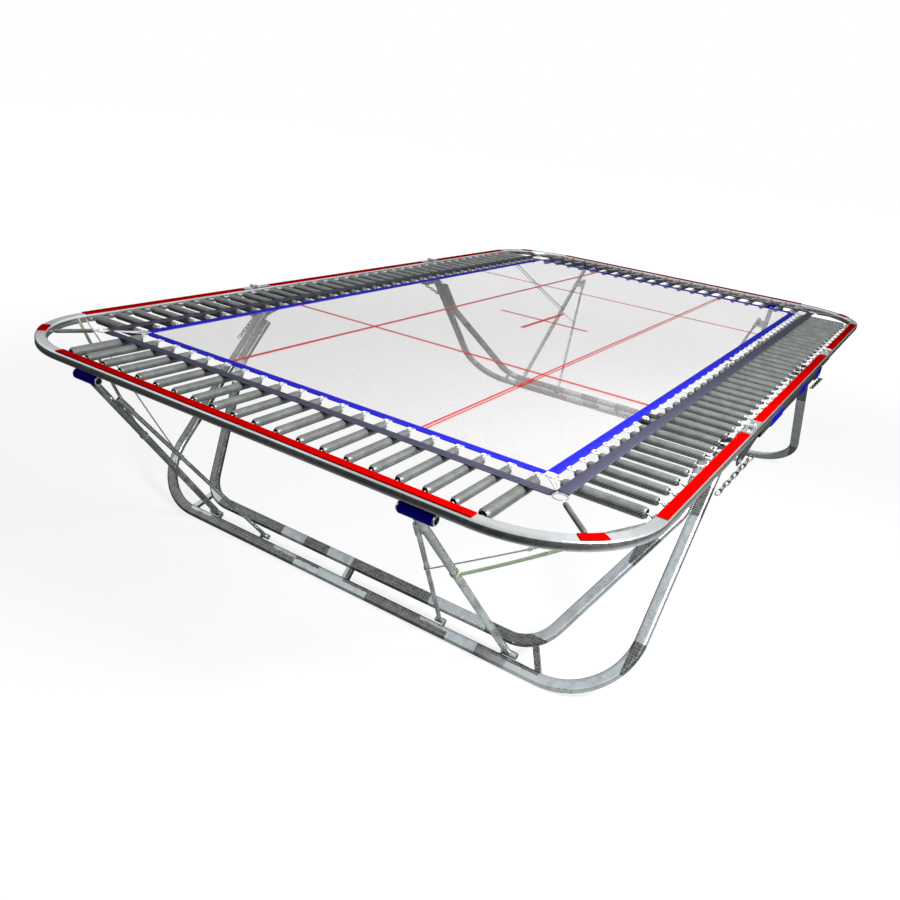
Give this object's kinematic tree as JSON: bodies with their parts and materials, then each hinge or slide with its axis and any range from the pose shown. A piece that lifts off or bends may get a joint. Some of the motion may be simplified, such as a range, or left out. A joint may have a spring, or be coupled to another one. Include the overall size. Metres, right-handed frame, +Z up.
{
  "type": "trampoline",
  "caption": "Folding rectangular trampoline: sprung woven bed in a rounded tube frame, hinged end sections, two raked double-tube leg frames and diagonal end braces",
  "frame": {"origin": "on the floor, under the centre of the bed", "axes": "+X along the long side towards end b, +Y across towards side l, +Z up"},
  "size_m": [5.246, 2.982, 1.097],
  "materials": {
    "galvanised": "hot-dip galvanised, dull spangle",
    "dark_steel": "dark painted steel",
    "zinc_fitting": "zinc plated",
    "spring_steel": "oiled wire, galvanised",
    "red_strip": "smooth plastic",
    "blue_sleeve": "smooth plastic",
    "bed": "woven net of narrow strings, see-through",
    "webbing": "woven and stitched",
    "belt": "woven",
    "strap": "woven",
    "rope": "elastic cord",
    "black_cap": "moulded"
  },
  "bodies": {
    "middle": {"middle_rail_l": "galvanised", "middle_rail_r": "galvanised", "under_rails": "dark_steel", "under_rail_sleeves": "blue_sleeve", "leg_brackets": "dark_steel", "leg_pins": "zinc_fitting", "hinge_leaves_mid": "zinc_fitting", "hinge_pins": "zinc_fitting", "strips_mid": "red_strip", "bed_mid": "bed", "webbing_mid": "webbing", "springs_mid": "spring_steel", "belts_mid": "belt", "chains": "zinc_fitting"},
    "end_a": {"end_frame_a": "galvanised", "hinge_leaves_a": "zinc_fitting", "strips_a": "red_strip", "bed_a": "bed", "webbing_a": "webbing", "side_springs_a": "spring_steel", "end_springs_a": "spring_steel", "belts_a": "belt", "corner_rings_a": "zinc_fitting", "corner_springs_a": "spring_steel"},
    "leg_a": {"outer_leg_a": "galvanised", "inner_leg_a": "galvanised", "cross_bars_a": "galvanised", "leg_caps_a": "black_cap", "brace_lugs_a": "galvanised"},
    "brace_al": {"brace_al": "galvanised", "brace_sleeve_al": "blue_sleeve", "strap_al": "strap", "rope_al": "rope"},
    "brace_ar": {"brace_ar": "galvanised", "brace_sleeve_ar": "blue_sleeve", "strap_ar": "strap", "rope_ar": "rope"},
    "end_b": {"end_frame_b": "galvanised", "hinge_leaves_b": "zinc_fitting", "strips_b": "red_strip", "bed_b": "bed", "webbing_b": "webbing", "side_springs_b": "spring_steel", "end_springs_b": "spring_steel", "belts_b": "belt", "corner_rings_b": "zinc_fitting", "corner_springs_b": "spring_steel"},
    "leg_b": {"outer_leg_b": "galvanised", "inner_leg_b": "galvanised", "cross_bars_b": "galvanised", "leg_caps_b": "black_cap", "brace_lugs_b": "galvanised"},
    "brace_bl": {"brace_bl": "galvanised", "brace_sleeve_bl": "blue_sleeve", "strap_bl": "strap", "rope_bl": "rope"},
    "brace_br": {"brace_br": "galvanised", "brace_sleeve_br": "blue_sleeve", "strap_br": "strap", "rope_br": "rope"}
  },
  "joints": [
    {"name": "fold_a", "type": "hinge", "parent": "middle", "child": "end_a", "pos_m": [-0.98, 0, 1.089], "axis": [0, 1, 0], "range_deg": [0, 178]},
    {"name": "leg_fold_a", "type": "hinge", "parent": "middle", "child": "leg_a", "pos_m": [-0.99, 0, 0.925], "axis": [0, -1, 0], "range_deg": [0, 90], "deforming": ["strap_al", "rope_al", "strap_ar", "rope_ar", "chains"]},
    {"name": "brace_fold_al", "type": "hinge", "parent": "leg_a", "child": "brace_al", "pos_m": [-1.78485, 0, 0.06114], "axis": [0, 1, 0], "range_deg": [0, 37]},
    {"name": "brace_fold_ar", "type": "hinge", "parent": "leg_a", "child": "brace_ar", "pos_m": [-1.78485, 0, 0.06114], "axis": [0, 1, 0], "range_deg": [0, 37]},
    {"name": "fold_b", "type": "hinge", "parent": "middle", "child": "end_b", "pos_m": [0.98, 0, 1.089], "axis": [0, -1, 0], "range_deg": [0, 150]},
    {"name": "leg_fold_b", "type": "hinge", "parent": "middle", "child": "leg_b", "pos_m": [0.99, 0, 0.925], "axis": [0, 1, 0], "range_deg": [0, 90], "deforming": ["strap_bl", "rope_bl", "strap_br", "rope_br"]},
    {"name": "brace_fold_bl", "type": "hinge", "parent": "leg_b", "child": "brace_bl", "pos_m": [1.78485, 0, 0.06114], "axis": [0, -1, 0], "range_deg": [0, 37]},
    {"name": "brace_fold_br", "type": "hinge", "parent": "leg_b", "child": "brace_br", "pos_m": [1.78485, 0, 0.06114], "axis": [0, -1, 0], "range_deg": [0, 37]}
  ],
  "couplings": [
    {"joint": "brace_fold_al", "follows": "leg_fold_a", "ratio": 0.4},
    {"joint": "brace_fold_ar", "follows": "leg_fold_a", "ratio": 0.4},
    {"joint": "brace_fold_bl", "follows": "leg_fold_b", "ratio": 0.4},
    {"joint": "brace_fold_br", "follows": "leg_fold_b", "ratio": 0.4}
  ]
}
